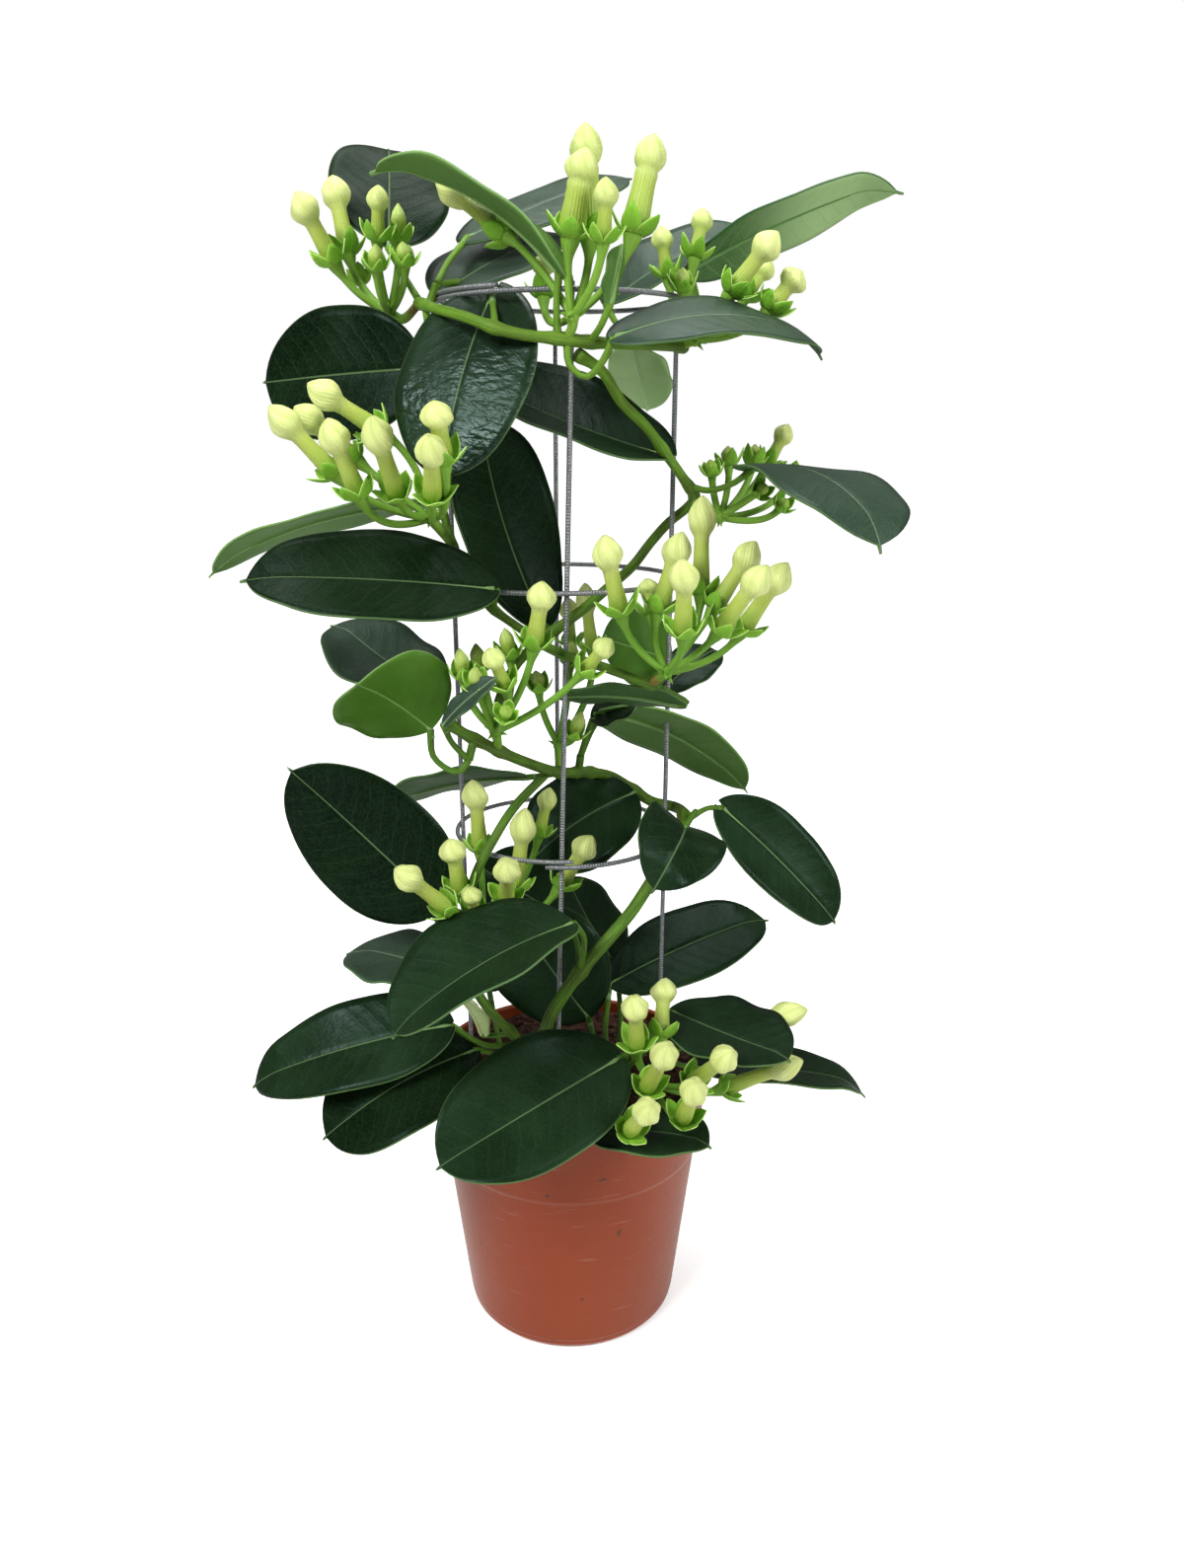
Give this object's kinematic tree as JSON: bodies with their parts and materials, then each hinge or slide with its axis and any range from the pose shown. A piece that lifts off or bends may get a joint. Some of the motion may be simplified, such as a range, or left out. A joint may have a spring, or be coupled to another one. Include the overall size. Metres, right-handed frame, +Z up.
{
  "type": "potted madagascar jasmine",
  "caption": "Evergreen twining pot plant with leathery oval leaves and waxy flower buds in umbels, trained on a small cylinder of wire in a round nursery pot.",
  "frame": {"origin": "centre of the pot's base, on the plane it stands on", "axes": "+Z up along the pot's axis, -Y towards the side the plant shows, +X to that side's right"},
  "size_m": [0.2803, 0.1966, 0.5172],
  "materials": {
    "pot_plastic": "satin, thin moulded plastic",
    "peat": "rough, damp fibrous peat",
    "wire": "galvanised, finely ribbed",
    "stem": "green bark, matte",
    "leaf": "leathery, satin with a pale midrib",
    "bud": "waxy"
  },
  "bodies": {
    "root": {"pot": "pot_plastic", "soil": "peat", "trellis_ring_top": "wire", "trellis_ring_middle": "wire", "trellis_ring_bottom": "wire", "trellis_upright_front": "wire", "trellis_upright_right": "wire", "trellis_upright_back": "wire", "trellis_upright_left": "wire", "vine_lower": "stem", "vine_middle": "stem", "vine_left": "stem", "vine_top": "stem", "vine_right": "stem", "leaf_top_back": "leaf", "leaf_top_arch": "leaf", "leaves_top_rear": "leaf", "leaves_behind_top": "leaf", "leaf_right_high": "leaf", "leaf_right_front": "leaf", "leaf_left_upper": "leaf", "leaf_centre_glossy": "leaf", "leaf_centre_back": "leaf", "leaf_centre_tall": "leaf", "leaf_left_under": "leaf", "leaf_left_long": "leaf", "leaf_left_grey": "leaf", "leaves_left_bright": "leaf", "leaf_right_upper": "leaf", "leaves_middle_rear": "leaf", "leaves_middle_right": "leaf", "leaf_core_dark": "leaf", "leaves_right_low": "leaf", "leaf_left_big": "leaf", "leaf_left_edge": "leaf", "leaf_behind_buds": "leaf", "leaf_left_small": "leaf", "leaf_front_big": "leaf", "leaf_left_low": "leaf", "leaf_left_lowest": "leaf", "leaf_front_low": "leaf", "leaf_curled_pale": "leaf", "leaves_inner": "leaf", "leaf_right_mid": "leaf", "leaves_right_rim": "leaf", "leaf_right_bottom": "leaf", "leaf_young": "leaf", "leaf_rear_upper": "leaf", "leaf_rear_lower": "leaf", "umbel_top_left": "bud", "umbel_top": "bud", "umbel_top_right": "bud", "umbel_left": "bud", "umbel_right": "bud", "umbel_centre": "bud", "umbel_inner": "bud", "umbel_cluster": "bud", "umbel_lower": "bud", "umbel_pot": "bud"}
  },
  "joints": []
}
